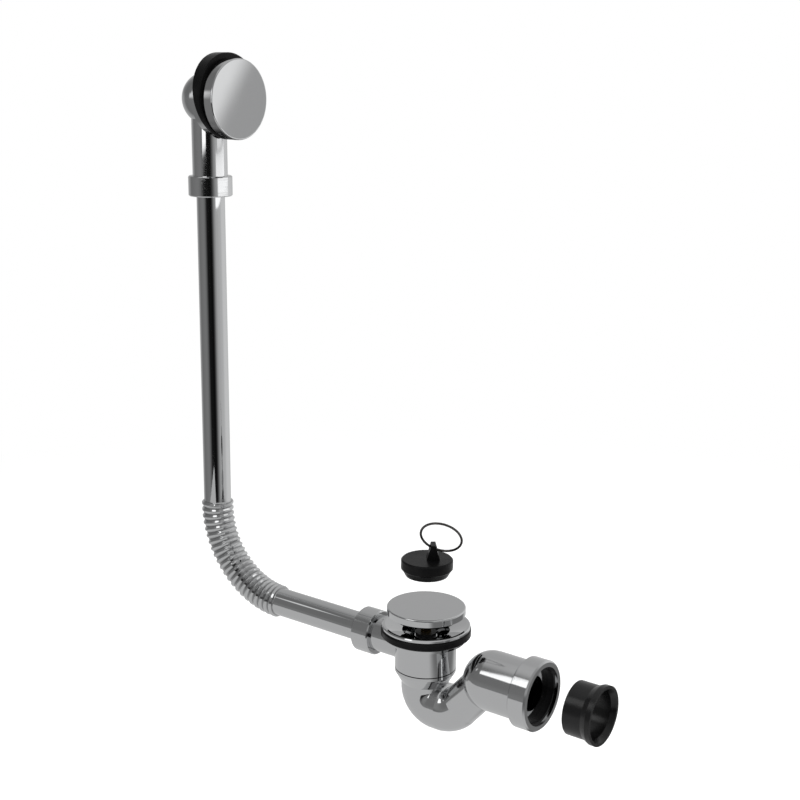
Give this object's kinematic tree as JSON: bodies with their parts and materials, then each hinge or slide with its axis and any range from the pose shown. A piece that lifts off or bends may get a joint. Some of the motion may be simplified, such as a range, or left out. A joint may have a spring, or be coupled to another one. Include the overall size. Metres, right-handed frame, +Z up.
{
  "type": "bath waste and overflow",
  "caption": "Chromed push-open bath waste with overflow head, ribbed overflow pipe, shallow trap, rubber outlet sleeve, and rubber plug with pull ring.",
  "frame": {"origin": "on the waste axis, at the plane where the bath's floor is clamped between the waste's gasket and its flange washer", "axes": "+X from the overflow pipe towards the trap's outlet, +Z up along the waste axis towards the cap, +Y across"},
  "size_m": [0.383, 0.0672, 0.4905],
  "materials": {
    "chrome": "polished",
    "rubber": "satin",
    "brass": "machined",
    "steel": "plain",
    "cartridge_plastic": "matte",
    "ring_wire": "dark"
  },
  "bodies": {
    "set": {"overflow_pipe": "chrome", "overflow_nut": "chrome", "overflow_seal_ring": "rubber", "overflow_elbow": "chrome", "overflow_gasket": "rubber", "overflow_washer": "rubber", "overflow_insert": "chrome", "overflow_stud": "steel", "overflow_cap": "chrome", "branch_nut": "chrome", "branch_seal_ring": "rubber", "waste_body": "chrome", "body_gasket": "rubber", "flange_washer": "rubber", "waste_flange": "chrome", "cap_spring": "steel", "cartridge_housing": "cartridge_plastic", "cartridge_base": "cartridge_plastic", "trap_seal": "rubber", "trap_body": "chrome", "outlet_nut": "chrome", "outlet_seal": "rubber", "outlet_sleeve": "rubber", "bath_plug": "rubber"},
    "cap": {"waste_cap": "chrome", "cap_seal": "rubber", "cap_stem": "brass"},
    "ring": {"pull_ring": "ring_wire"}
  },
  "joints": [
    {"name": "cap_slide", "type": "slide", "parent": "set", "child": "cap", "axis": [0, 0, 1], "range_m": [-0.008, 0], "stiffness_N_per_m": 500, "springref_m": 0.006, "deforming": ["cap_spring"]},
    {"name": "ring_swing", "type": "hinge", "parent": "set", "child": "ring", "pos_m": [0.00351, 0.00265, 0.062], "axis": [0.7238, 0.5454, -0.4226], "range_deg": [-114, 45]}
  ]
}
